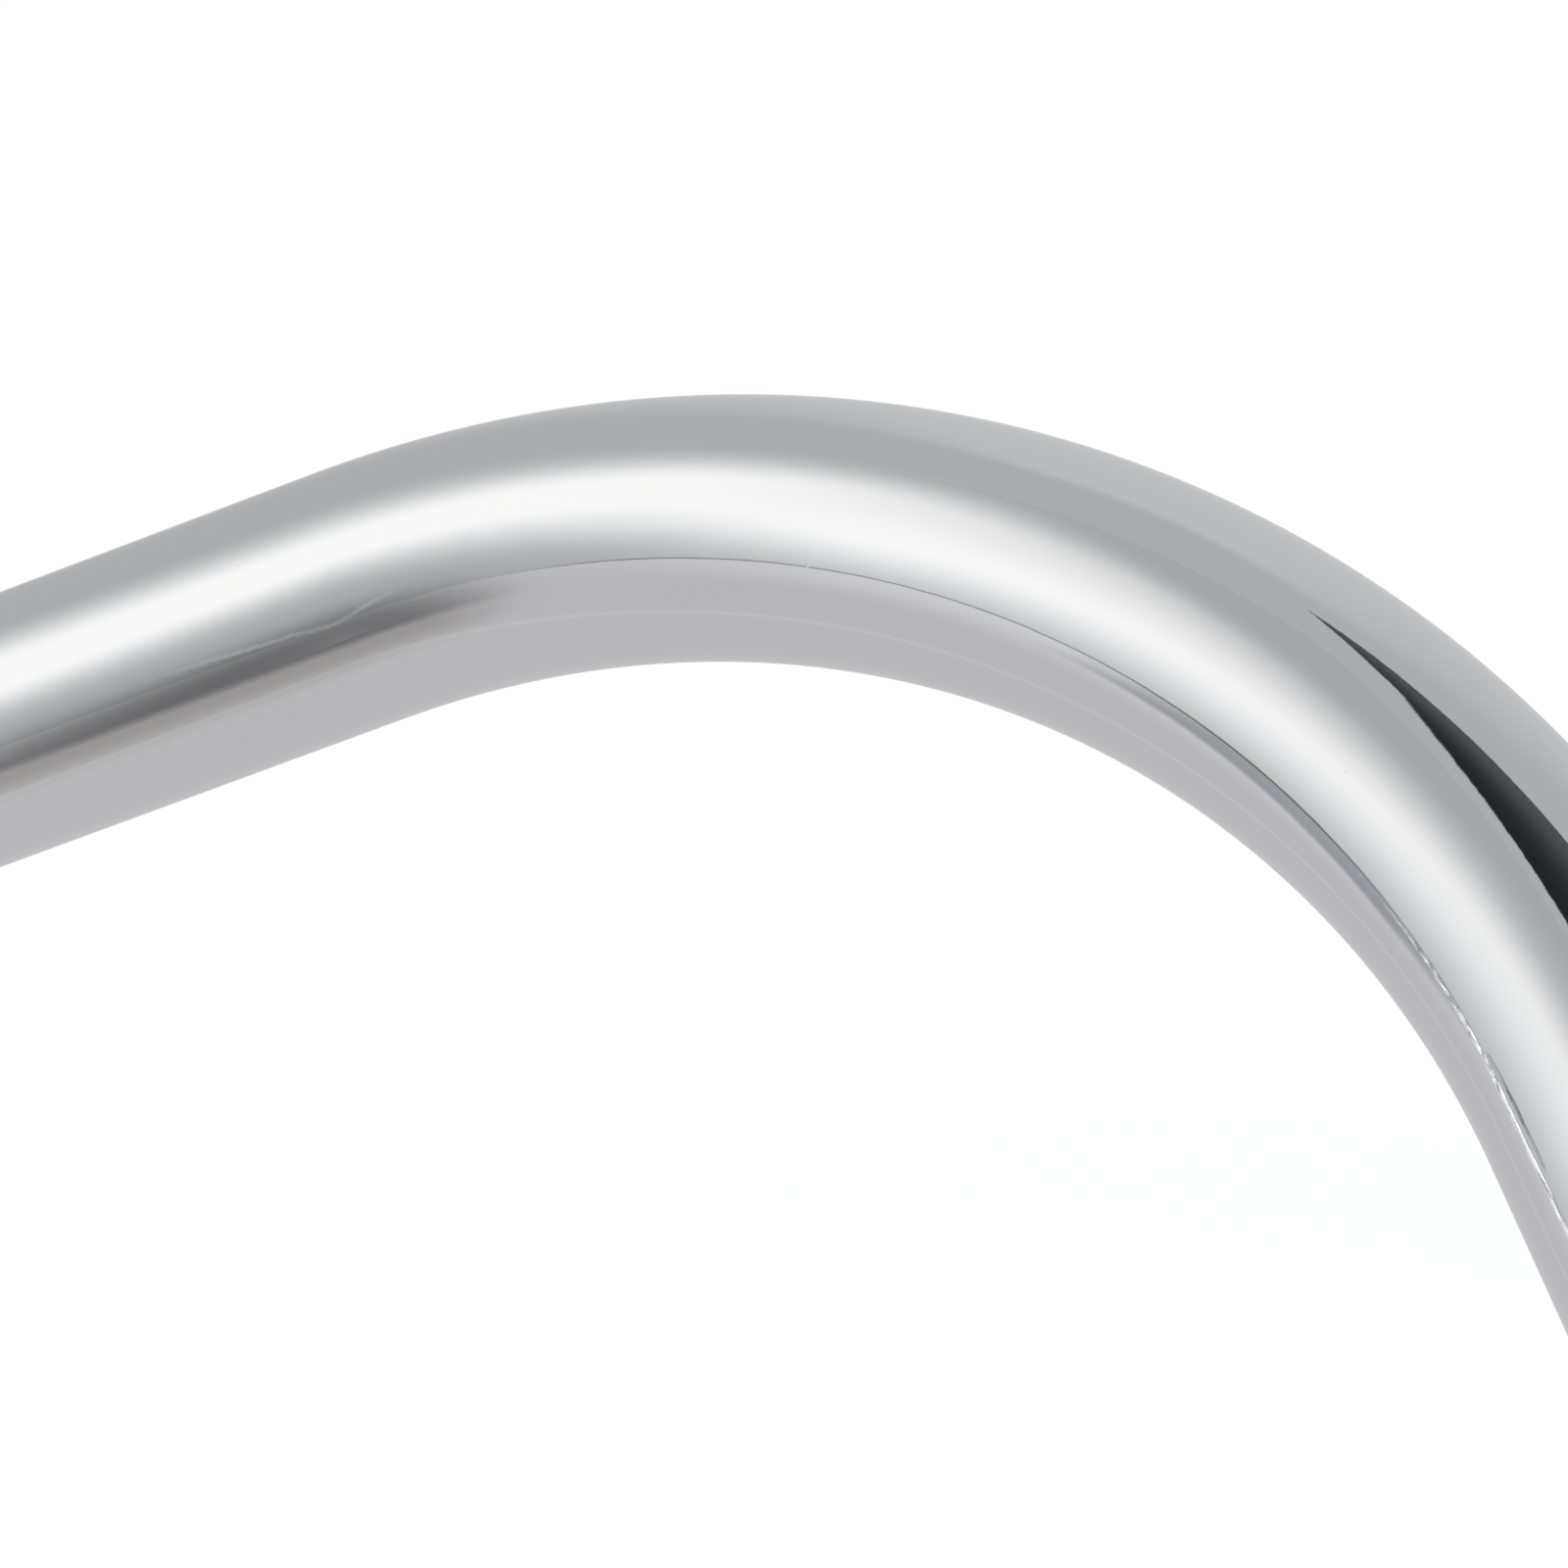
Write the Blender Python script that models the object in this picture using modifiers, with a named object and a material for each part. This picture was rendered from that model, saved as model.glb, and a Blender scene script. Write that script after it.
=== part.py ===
"""Motorcycle handlebar: a chromed pull-back tube held in two risers, with a weight in each end.

Metres, +Z up. The origin is on top of the fork's yoke, midway between the two risers.
X runs along the clamped middle of the tube and the rider sits on the +Y side.
"""

import math

import bmesh
import bpy
from mathutils import Matrix, Vector

MM = 0.001
GAP = 0.3 * MM  # between pieces that touch on the real object

# The tube
TUBE_RADIUS = 11.1 * MM
TUBE_WALL = 2.0 * MM
TUBE_BORE = TUBE_RADIUS - TUBE_WALL
CLAMP_HALF = 68 * MM  # straight middle, from the centre to the start of the lower bend
BEND_RADIUS = 83.5 * MM
LEG_LENGTH = 88 * MM  # straight between the lower and the upper bend
GRIP_LENGTH = 190 * MM  # straight outside the upper bend
LEG_DIRECTION = Vector((0.659, -0.141, 0.738)).normalized()
GRIP_DIRECTION = Vector((0.635, 0.688, -0.352)).normalized()
BEND_STEP = math.radians(7.5)
TUBE_SIDES = 24

# The risers
BAR_HEIGHT = 46 * MM  # from the yoke to the tube's axis
RISER_X = 45 * MM
BLOCK_HALF_WIDTH = 17 * MM
BLOCK_HALF_DEPTH = 27.5 * MM
BLOCK_BOTTOM = 25 * MM
BLOCK_CORNER = 13 * MM
SPLIT_GAP = 1.5 * MM
SADDLE_RADIUS = TUBE_RADIUS + GAP
BASE_RADIUS = 19 * MM
BASE_THICKNESS = 4 * MM
POST_RADIUS = 15 * MM
POST_TOP_RADIUS = 16.2 * MM
FLARE_HEIGHT = 5 * MM  # each end of the post widens over this height
SHOULDER_HEIGHT = 9 * MM  # from the tube's axis to the face under the cap screws
DOME_RADIUS = 17.5 * MM
CAP_SCREW_Y = 19.5 * MM
SPOT_FACE_RADIUS = 7.2 * MM
BLIND_HOLE_BOTTOM = 31.5 * MM

# Cap screws, M8, and their lock washers
CAP_SCREW_RADIUS = 4 * MM
CAP_SCREW_TIP = 32.2 * MM
CAP_HEAD_RADIUS = 6.5 * MM
CAP_HEAD_HEIGHT = 8 * MM
CAP_WASHER_RADIUS = 6.4 * MM
CAP_WASHER_THICKNESS = 2 * MM

# Riser bolts, M10, which come up through the yoke
YOKE_THICKNESS = 25 * MM
BOLT_RADIUS = 5 * MM
BOLT_TIP = 20 * MM
BOLT_HOLE_DEPTH = 22 * MM
BOLT_HEAD_FLATS = 16 * MM
BOLT_HEAD_HEIGHT = 6.4 * MM
FLAT_WASHER_RADIUS = 10 * MM
FLAT_WASHER_THICKNESS = 2 * MM
LOCK_WASHER_RADIUS = 8.6 * MM
LOCK_WASHER_THICKNESS = 2.5 * MM

# The weights, measured outwards from the end of the tube along the grip's axis
SEAL_THICKNESS = 1.5 * MM
WEIGHT_RADIUS = 14 * MM
WEIGHT_START = SEAL_THICKNESS + 2 * GAP
WEIGHT_END = 36 * MM
WEIGHT_NOSE = 5 * MM  # radius of its rounded edge
SPIGOT_RADIUS = TUBE_BORE - GAP
SPIGOT_END = -14 * MM
END_SCREW_RADIUS = 3 * MM
END_HOLE_RADIUS = END_SCREW_RADIUS + GAP
END_HEAD_RADIUS = 5 * MM
END_HEAD_HEIGHT = 6 * MM
COUNTERBORE_RADIUS = 5.6 * MM
COUNTERBORE_FLOOR = 28 * MM
END_SCREW_TIP = -53 * MM
INNER_WASHER_RADIUS = 8.2 * MM
INNER_WASHER_THICKNESS = 1.6 * MM
SLEEVE_RADIUS = 8.7 * MM
SLEEVE_BORE = 3.9 * MM
SLEEVE_LENGTH = 22 * MM
CONE_LENGTH = 6 * MM  # depth of the tapered mouth that the nut is drawn into
CONE_RADIUS = 7.6 * MM
CONE_CLEARANCE = 0.45 * MM
NUT_RADIUS = 8.4 * MM
NUT_BODY = 8.5 * MM

FINE_SIDES = 24
HARDWARE_SIDES = 16


def clear_scene():
    for thing in list(bpy.data.objects):
        bpy.data.objects.remove(thing, do_unlink=True)


def new_collection(name):
    group = bpy.data.collections.new(name)
    bpy.context.scene.collection.children.link(group)
    return group


def new_material(name, color, roughness, metallic):
    material = bpy.data.materials.new(name)
    material.use_nodes = True
    shader = material.node_tree.nodes["Principled BSDF"]
    shader.inputs["Base Color"].default_value = (*color, 1)
    shader.inputs["Roughness"].default_value = roughness
    shader.inputs["Metallic"].default_value = metallic
    return material


clear_scene()
PARTS = new_collection("handlebar")
CUTTERS = new_collection("cutters")
CHROME = new_material("chrome plate", (0.78, 0.79, 0.81), 0.06, 1)
STEEL = new_material("zinc plated steel", (0.62, 0.63, 0.64), 0.3, 1)
RUBBER = new_material("black rubber", (0.025, 0.025, 0.027), 0.7, 0)
BRASS = new_material("brass", (0.72, 0.52, 0.24), 0.28, 1)


def add_empty(name, location, direction=Vector((0, 0, 1)), parent=None):
    """An empty whose +Z points along the direction, on the axis of what hangs from it."""
    empty = bpy.data.objects.new(name, None)
    PARTS.objects.link(empty)
    empty.parent = parent
    turn = Vector((0, 0, 1)).rotation_difference(direction)
    empty.matrix_local = Matrix.LocRotScale(location, turn, None)
    empty.empty_display_size = 0.02
    return empty


def add_object(name, mesh, group, material=None, parent=None, location=(0, 0, 0)):
    thing = bpy.data.objects.new(name, mesh)
    group.objects.link(thing)
    thing.parent = parent
    thing.location = location
    if material:
        mesh.materials.append(material)
    return thing


def add_turned(name, profile, material, parent=None, location=(0, 0, 0), ring=False,
               sides=HARDWARE_SIDES):
    """A profile of (radius, height) turned about Z, from its top down its outer side."""
    last = len(profile) - 1
    edges = [(i, i + 1) for i in range(last)]
    if ring:
        edges.append((last, 0))
    mesh = bpy.data.meshes.new(name)
    mesh.from_pydata([(radius, 0, height) for radius, height in profile], edges, [])
    thing = add_object(name, mesh, PARTS, material, parent, location)
    screw = thing.modifiers.new("turn", "SCREW")
    screw.axis = "Z"
    screw.steps = sides
    screw.render_steps = sides
    screw.use_merge_vertices = True
    screw.merge_threshold = 0.00001
    screw.use_smooth_shade = True
    return thing


def ring_profile(outer, inner, top, bottom, chamfer):
    """A washer's section, chamfered on its outer edges."""
    return [
        (outer - chamfer, top),
        (outer, top - chamfer),
        (outer, bottom + chamfer),
        (outer - chamfer, bottom),
        (inner, bottom),
        (inner, top),
    ]


def arc(centre, radius, start, end, steps):
    """Points on an arc in a plane, from one angle to another in degrees."""
    points = []
    for i in range(steps + 1):
        angle = math.radians(start + (end - start) * i / steps)
        points.append((centre[0] + radius * math.cos(angle), centre[1] + radius * math.sin(angle)))
    return points


def hide_cutter(thing):
    thing.hide_render = True
    thing.display_type = "WIRE"
    return thing


def cylinder_cutter(name, radius, low, high, x, y):
    """An upright cylinder between two heights, for a hole."""
    mesh = bpy.data.meshes.new(name)
    shape = bmesh.new()
    bmesh.ops.create_cone(shape, cap_ends=True, segments=HARDWARE_SIDES, radius1=radius,
                          radius2=radius, depth=high - low)
    shape.to_mesh(mesh)
    shape.free()
    return hide_cutter(add_object(name, mesh, CUTTERS, location=(x, y, (low + high) / 2)))


def hex_mesh(name, across_flats, height):
    mesh = bpy.data.meshes.new(name)
    radius = across_flats / 2 / math.cos(math.pi / 6)
    shape = bmesh.new()
    bmesh.ops.create_cone(shape, cap_ends=True, segments=6, radius1=radius, radius2=radius,
                          depth=height)
    shape.to_mesh(mesh)
    shape.free()
    return mesh


def box_mesh(name, size):
    mesh = bpy.data.meshes.new(name)
    shape = bmesh.new()
    bmesh.ops.create_cube(shape, size=1)
    bmesh.ops.scale(shape, vec=size, verts=shape.verts)
    shape.to_mesh(mesh)
    shape.free()
    return mesh


def apply_boolean(thing, other, operation):
    modifier = thing.modifiers.new(other.name, "BOOLEAN")
    modifier.operation = operation
    modifier.object = other


def extrude_outline(name, outline, half_width, group, material=None):
    """A flat outline of (y, z) points, extruded both ways along X, as a mesh."""
    curve = bpy.data.curves.new(name, "CURVE")
    curve.dimensions = "2D"
    curve.fill_mode = "BOTH"
    curve.extrude = half_width
    spline = curve.splines.new("POLY")
    spline.points.add(len(outline) - 1)
    for point, (y, z) in zip(spline.points, outline):
        point.co = (y, z, 0, 1)
    spline.use_cyclic_u = True
    guide = bpy.data.objects.new(name + "_outline", curve)
    CUTTERS.objects.link(guide)
    guide.matrix_world = Matrix(((0, 0, 1, 0), (1, 0, 0, 0), (0, 1, 0, 0), (0, 0, 0, 1)))
    bpy.context.view_layer.update()
    return curve_to_object(guide, name, group, material)


def curve_to_object(guide, name, group, material=None):
    """The evaluated curve as a welded mesh object in the curve's place; the curve goes."""
    evaluated = guide.evaluated_get(bpy.context.evaluated_depsgraph_get())
    mesh = bpy.data.meshes.new_from_object(evaluated)
    mesh.name = name
    shape = bmesh.new()
    shape.from_mesh(mesh)
    bmesh.ops.remove_doubles(shape, verts=shape.verts, dist=0.000005)
    shape.to_mesh(mesh)
    shape.free()
    thing = add_object(name, mesh, group, material)
    thing.matrix_world = guide.matrix_world.copy()
    bpy.data.objects.remove(guide, do_unlink=True)
    return thing


# ---------------------------------------------------------------- the tube


def bend_points(corner, direction_in, direction_out, radius):
    """Points round a bend that turns from one direction to the other at a corner."""
    turn = direction_in.angle(direction_out)
    tangent = radius * math.tan(turn / 2)
    start = corner - direction_in * tangent
    inward = (direction_out - direction_in * direction_in.dot(direction_out)).normalized()
    centre = start + inward * radius
    steps = round(turn / BEND_STEP)
    points = []
    for i in range(steps + 1):
        angle = turn * i / steps
        points.append(centre - inward * (radius * math.cos(angle))
                      + direction_in * (radius * math.sin(angle)))
    return points


def half_path():
    """The centre line of the +X half of the tube, from the middle outwards."""
    along = Vector((1, 0, 0))
    lower = BEND_RADIUS * math.tan(along.angle(LEG_DIRECTION) / 2)
    upper = BEND_RADIUS * math.tan(LEG_DIRECTION.angle(GRIP_DIRECTION) / 2)
    lower_corner = along * (CLAMP_HALF + lower)
    upper_corner = lower_corner + LEG_DIRECTION * (lower + LEG_LENGTH + upper)
    end = upper_corner + GRIP_DIRECTION * (upper + GRIP_LENGTH)
    points = bend_points(lower_corner, along, LEG_DIRECTION, BEND_RADIUS)
    points += bend_points(upper_corner, LEG_DIRECTION, GRIP_DIRECTION, BEND_RADIUS)
    points.append(end)
    return points


def mirrored(vector):
    return Vector((-vector.x, vector.y, vector.z))


def add_tube(parent):
    right_to_left = [mirrored(p) for p in reversed(half_path())] + half_path()
    curve = bpy.data.curves.new("handlebar_tube", "CURVE")
    curve.dimensions = "3D"
    curve.bevel_depth = TUBE_RADIUS
    curve.bevel_resolution = TUBE_SIDES // 2 - 2
    spline = curve.splines.new("POLY")
    spline.points.add(len(right_to_left) - 1)
    for point, place in zip(spline.points, right_to_left):
        point.co = (*place, 1)
    guide = bpy.data.objects.new("handlebar_tube_path", curve)
    CUTTERS.objects.link(guide)
    bpy.context.view_layer.update()
    tube = curve_to_object(guide, "handlebar_tube", PARTS, CHROME)
    tube.data.shade_smooth()
    tube.parent = parent
    wall = tube.modifiers.new("wall", "SOLIDIFY")
    wall.thickness = TUBE_WALL
    wall.offset = -1
    wall.use_even_offset = True
    return tube


# ---------------------------------------------------------------- the weight in each end


def add_end_hardware(side, axis):
    """The weight and the expanding plug that holds it, along the axis of one tube end."""
    nose = arc((WEIGHT_RADIUS - WEIGHT_NOSE, WEIGHT_END - WEIGHT_NOSE), WEIGHT_NOSE, 90, 0, 4)
    neck = arc((WEIGHT_RADIUS, WEIGHT_START), WEIGHT_RADIUS - TUBE_RADIUS, 90, 180, 3)
    weight = [(COUNTERBORE_RADIUS, WEIGHT_END)] + nose + neck
    weight += [(SPIGOT_RADIUS, WEIGHT_START), (SPIGOT_RADIUS, SPIGOT_END + MM)]
    weight += [(SPIGOT_RADIUS - MM, SPIGOT_END), (END_HOLE_RADIUS, SPIGOT_END)]
    weight += [(END_HOLE_RADIUS, COUNTERBORE_FLOOR), (COUNTERBORE_RADIUS, COUNTERBORE_FLOOR)]
    add_turned(side + "_end_weight", weight, CHROME, parent=axis, ring=True,
               sides=FINE_SIDES)

    seal = ring_profile(TUBE_RADIUS, TUBE_BORE, GAP + SEAL_THICKNESS, GAP, 0.3 * MM)
    add_turned(side + "_end_seal", seal, RUBBER, parent=axis, ring=True)

    washer_top = SPIGOT_END - GAP
    washer_bottom = washer_top - INNER_WASHER_THICKNESS
    washer = ring_profile(INNER_WASHER_RADIUS, END_HOLE_RADIUS, washer_top, washer_bottom, 0.2 * MM)
    add_turned(side + "_plug_washer", washer, STEEL, parent=axis, ring=True)

    top = washer_bottom - GAP
    bottom = top - SLEEVE_LENGTH
    sleeve = [(SLEEVE_RADIUS - MM, top), (SLEEVE_RADIUS, top - MM), (SLEEVE_RADIUS, bottom)]
    sleeve += [(CONE_RADIUS, bottom), (SLEEVE_BORE, bottom + CONE_LENGTH), (SLEEVE_BORE, top)]
    add_turned(side + "_plug_sleeve", sleeve, RUBBER, parent=axis, ring=True)

    nut_face = bottom - GAP
    tip = bottom + CONE_LENGTH - MM
    slope = (CONE_RADIUS - SLEEVE_BORE) / CONE_LENGTH
    tip_radius = SLEEVE_BORE + slope * MM - CONE_CLEARANCE
    root_radius = CONE_RADIUS + slope * GAP - CONE_CLEARANCE
    nut = [(END_HOLE_RADIUS, tip), (tip_radius, tip), (root_radius, nut_face)]
    nut += [(NUT_RADIUS, nut_face), (NUT_RADIUS, nut_face - NUT_BODY + MM)]
    nut += [(NUT_RADIUS - MM, nut_face - NUT_BODY), (END_HOLE_RADIUS, nut_face - NUT_BODY)]
    add_turned(side + "_wedge_nut", nut, BRASS, parent=axis, ring=True)

    head_bottom = COUNTERBORE_FLOOR + GAP
    screw = socket_screw_profile(END_SCREW_RADIUS, END_HEAD_RADIUS, head_bottom,
                                 head_bottom + END_HEAD_HEIGHT, END_SCREW_TIP)
    end_screw = add_turned(side + "_end_screw", screw, STEEL, parent=axis)
    socket = add_object(side + "_end_socket", hex_mesh("end_socket", 5 * MM, 6 * MM), CUTTERS,
                        parent=axis, location=(0, 0, head_bottom + END_HEAD_HEIGHT))
    apply_boolean(end_screw, hide_cutter(socket), "DIFFERENCE")


def socket_screw_profile(radius, head_radius, head_bottom, head_top, tip):
    """A cap screw from the middle of its head down to its chamfered tip."""
    edge = 0.6 * MM
    return [
        (0, head_top),
        (head_radius - edge, head_top),
        (head_radius, head_top - edge),
        (head_radius, head_bottom),
        (radius, head_bottom),
        (radius, tip + edge),
        (radius - edge, tip),
        (0, tip),
    ]


# ---------------------------------------------------------------- the risers


def block_outline():
    """Side view of the riser's block, whose lower corners are round."""
    top = BAR_HEIGHT - SPLIT_GAP / 2
    corner_y = BLOCK_HALF_DEPTH - BLOCK_CORNER
    corner_z = BLOCK_BOTTOM + BLOCK_CORNER
    outline = arc((corner_y, corner_z), BLOCK_CORNER, 0, -90, 6)
    outline += arc((-corner_y, corner_z), BLOCK_CORNER, -90, -180, 6)
    return [(BLOCK_HALF_DEPTH, top)] + outline + [(-BLOCK_HALF_DEPTH, top)]


def cap_outline():
    """Side view of the cap: a dome over the tube between two shoulders for the screws."""
    bottom = BAR_HEIGHT + SPLIT_GAP / 2
    shoulder = BAR_HEIGHT + SHOULDER_HEIGHT
    edge = 2.5 * MM
    lift = math.degrees(math.asin(SHOULDER_HEIGHT / DOME_RADIUS))
    right_edge = arc((BLOCK_HALF_DEPTH - edge, shoulder - edge), edge, 0, 90, 3)
    left_edge = arc((edge - BLOCK_HALF_DEPTH, shoulder - edge), edge, 90, 180, 3)
    dome = arc((0, BAR_HEIGHT), DOME_RADIUS, lift, 180 - lift, 12)
    return ([(BLOCK_HALF_DEPTH, bottom)] + right_edge + dome + left_edge
            + [(-BLOCK_HALF_DEPTH, bottom)])


def add_saddle_cutter(side, x):
    """The tube's seat, a cylinder along X through both halves of the clamp."""
    mesh = bpy.data.meshes.new("saddle")
    shape = bmesh.new()
    bmesh.ops.create_cone(shape, cap_ends=True, segments=48, radius1=SADDLE_RADIUS,
                          radius2=SADDLE_RADIUS, depth=4 * BLOCK_HALF_WIDTH,
                          matrix=Matrix.Rotation(math.pi / 2, 4, "Y"))
    shape.to_mesh(mesh)
    shape.free()
    return hide_cutter(add_object(side + "_saddle", mesh, CUTTERS, location=(x, 0, BAR_HEIGHT)))


def add_riser(side, x):
    """One riser: its post and block, the cap, and the screws, bolt and washers that hold them."""
    inside_block = BLOCK_BOTTOM + 4 * MM
    post = [(0, inside_block), (POST_TOP_RADIUS, inside_block)]
    post += [(POST_TOP_RADIUS, BLOCK_BOTTOM - MM), (POST_RADIUS, BLOCK_BOTTOM - FLARE_HEIGHT)]
    post += [(POST_RADIUS, BASE_THICKNESS + FLARE_HEIGHT), (BASE_RADIUS - MM, BASE_THICKNESS + MM)]
    post += [(BASE_RADIUS, BASE_THICKNESS), (BASE_RADIUS, MM), (BASE_RADIUS - MM, 0), (0, 0)]
    body = add_turned(side + "_riser_body", post, CHROME, location=(x, 0, 0),
                      sides=FINE_SIDES)
    block = extrude_outline(side + "_riser_block", block_outline(), BLOCK_HALF_WIDTH, CUTTERS)
    block.location.x = x
    hide_cutter(block)
    cap = extrude_outline(side + "_riser_cap", cap_outline(), BLOCK_HALF_WIDTH, PARTS, CHROME)
    cap.location.x = x
    saddle = add_saddle_cutter(side, x)
    bolt_hole = cylinder_cutter(side + "_bolt_hole", BOLT_RADIUS + GAP, -MM, BOLT_HOLE_DEPTH, x, 0)
    apply_boolean(body, block, "UNION")
    apply_boolean(body, saddle, "DIFFERENCE")
    apply_boolean(body, bolt_hole, "DIFFERENCE")
    apply_boolean(cap, saddle, "DIFFERENCE")
    for place, y in (("front", -CAP_SCREW_Y), ("rear", CAP_SCREW_Y)):
        add_cap_screw(side, place, x, y, body, cap)
    add_riser_bolt(side, x)


def add_cap_screw(side, place, x, y, body, cap):
    """A cap screw on its lock washer, with the holes it needs in the cap and the block."""
    name = f"{side}_{place}"
    shoulder = BAR_HEIGHT + SHOULDER_HEIGHT
    hole = cylinder_cutter(name + "_hole", CAP_SCREW_RADIUS + GAP, BLIND_HOLE_BOTTOM,
                           shoulder + 5 * MM, x, y)
    spot = cylinder_cutter(name + "_spot_face", SPOT_FACE_RADIUS, shoulder,
                           shoulder + 20 * MM, x, y)
    apply_boolean(body, hole, "DIFFERENCE")
    apply_boolean(cap, hole, "DIFFERENCE")
    apply_boolean(cap, spot, "DIFFERENCE")
    washer_bottom = shoulder + GAP
    washer_top = washer_bottom + CAP_WASHER_THICKNESS
    washer = ring_profile(CAP_WASHER_RADIUS, CAP_SCREW_RADIUS + GAP, washer_top, washer_bottom,
                          0.2 * MM)
    ring = add_turned(f"{side}_cap_washer_{place}", washer, STEEL, location=(x, y, 0),
                      ring=True)
    split_ring(ring, name + "_washer_split", CAP_WASHER_RADIUS, x, y, washer_bottom)
    head_bottom = washer_top + GAP
    head_top = head_bottom + CAP_HEAD_HEIGHT
    profile = socket_screw_profile(CAP_SCREW_RADIUS, CAP_HEAD_RADIUS, head_bottom, head_top,
                                   CAP_SCREW_TIP)
    screw = add_turned(f"{side}_cap_screw_{place}", profile, STEEL, location=(x, y, 0))
    socket = add_object(name + "_socket", hex_mesh("cap_socket", 6 * MM, 8 * MM), CUTTERS,
                        location=(x, y, head_top))
    apply_boolean(screw, hide_cutter(socket), "DIFFERENCE")


def split_ring(ring, name, radius, x, y, z):
    """The slanted slot that makes a ring a spring washer."""
    size = Vector((radius, 1.2 * MM, 12 * MM))
    slot = add_object(name, box_mesh(name, size), CUTTERS, location=(x + radius, y, z + MM))
    slot.rotation_euler.x = math.radians(20)
    apply_boolean(ring, hide_cutter(slot), "DIFFERENCE")


def add_riser_bolt(side, x):
    """The hexagon bolt under the yoke, with a flat washer and a spring washer."""
    flat_top = -YOKE_THICKNESS - GAP
    flat_bottom = flat_top - FLAT_WASHER_THICKNESS
    flat = ring_profile(FLAT_WASHER_RADIUS, BOLT_RADIUS + GAP, flat_top, flat_bottom, 0.2 * MM)
    add_turned(side + "_riser_washer", flat, STEEL, location=(x, 0, 0), ring=True)
    lock_top = flat_bottom - GAP
    lock_bottom = lock_top - LOCK_WASHER_THICKNESS
    lock = ring_profile(LOCK_WASHER_RADIUS, BOLT_RADIUS + GAP, lock_top, lock_bottom, 0.2 * MM)
    ring = add_turned(side + "_riser_lock_washer", lock, STEEL, location=(x, 0, 0),
                      ring=True)
    split_ring(ring, side + "_lock_split", LOCK_WASHER_RADIUS, x, 0, lock_bottom)
    head_top = lock_bottom - GAP
    head_bottom = head_top - BOLT_HEAD_HEIGHT
    edge = 0.8 * MM
    shank = [(0, BOLT_TIP), (BOLT_RADIUS - edge, BOLT_TIP), (BOLT_RADIUS, BOLT_TIP - edge)]
    shank += [(BOLT_RADIUS, head_bottom + MM), (0, head_bottom + MM)]
    bolt = add_turned(side + "_riser_bolt", shank, STEEL, location=(x, 0, 0))
    head = add_object(side + "_bolt_head", hex_mesh("bolt_head", BOLT_HEAD_FLATS, BOLT_HEAD_HEIGHT),
                      CUTTERS, location=(x, 0, (head_top + head_bottom) / 2))
    apply_boolean(bolt, hide_cutter(head), "UNION")


def main():
    bar_axis = add_empty("bar_axis", (0, 0, BAR_HEIGHT))
    add_tube(bar_axis)
    end = half_path()[-1]
    left_axis = add_empty("left_end_axis", end, GRIP_DIRECTION, bar_axis)
    right_axis = add_empty("right_end_axis", mirrored(end), mirrored(GRIP_DIRECTION), bar_axis)
    add_end_hardware("left", left_axis)
    add_end_hardware("right", right_axis)
    add_riser("left", RISER_X)
    add_riser("right", -RISER_X)


main()
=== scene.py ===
import math

import bmesh
import bpy
from mathutils import Matrix, Vector


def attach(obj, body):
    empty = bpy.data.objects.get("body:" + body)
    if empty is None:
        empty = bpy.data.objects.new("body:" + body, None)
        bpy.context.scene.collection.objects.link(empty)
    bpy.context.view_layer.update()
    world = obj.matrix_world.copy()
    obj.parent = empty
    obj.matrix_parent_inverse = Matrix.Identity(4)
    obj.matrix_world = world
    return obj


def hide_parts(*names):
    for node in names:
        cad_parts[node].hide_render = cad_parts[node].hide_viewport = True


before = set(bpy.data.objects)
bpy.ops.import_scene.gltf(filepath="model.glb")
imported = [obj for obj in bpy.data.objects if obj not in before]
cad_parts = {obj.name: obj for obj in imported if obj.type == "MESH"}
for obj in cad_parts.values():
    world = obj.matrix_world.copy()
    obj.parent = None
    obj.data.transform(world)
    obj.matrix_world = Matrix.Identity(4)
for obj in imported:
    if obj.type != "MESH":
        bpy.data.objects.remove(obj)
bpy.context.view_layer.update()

# A chromed motorcycle handlebar: one tube bent twice on each side, held in two riser clamps that
# are bolted to a fork's yoke, with a weight plugged into each open end. +X is the rider's left,
# +Y points at the rider and Z is up from the yoke's top face. Sizes are in metres.

MM = 0.001

# ---------------------------------------------------------------- sizes that the frame fixes

TUBE_RADIUS = 11.1 * MM
TUBE_WALL = 2 * MM
CLAMP_HALF = 68 * MM  # straight middle, from the centre to the start of the lower bend
BEND_RADIUS = 83.5 * MM
LEG_LENGTH = 88 * MM
GRIP_LENGTH = 190 * MM
LEG = Vector((0.659, -0.141, 0.738)).normalized()
GRIP = Vector((0.635, 0.688, -0.352)).normalized()
BAR_HEIGHT = 46 * MM
GAP = 0.3 * MM  # between pieces that touch on the real object
TUBE_BORE = TUBE_RADIUS - TUBE_WALL

# risers
RISER_X = 45 * MM
BLOCK_HALF_WIDTH = 17 * MM
BLOCK_HALF_DEPTH = 27.5 * MM
BLOCK_BOTTOM = 25 * MM
BLOCK_CORNER = 13 * MM
SPLIT_GAP = 1.5 * MM
SADDLE_RADIUS = TUBE_RADIUS + GAP
BASE_RADIUS = 19 * MM
BASE_THICKNESS = 4 * MM
POST_RADIUS = 15 * MM
POST_TOP_RADIUS = 16.2 * MM
FLARE_HEIGHT = 5 * MM
SHOULDER = BAR_HEIGHT + 9 * MM  # face under the cap screws
DOME_RADIUS = 17.5 * MM
SPOT_FACE_RADIUS = 7.2 * MM
CAP_SCREW_Y = 19.5 * MM
CAP_SCREW_RADIUS = 4 * MM
CAP_SCREW_TIP = 32.2 * MM
CAP_HEAD_RADIUS = 6.5 * MM
CAP_HEAD_HEIGHT = 8 * MM
CAP_SOCKET_FLATS = 6 * MM
CAP_SOCKET_DEPTH = 4 * MM
CAP_HEAD_FLUTES = 40
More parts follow.
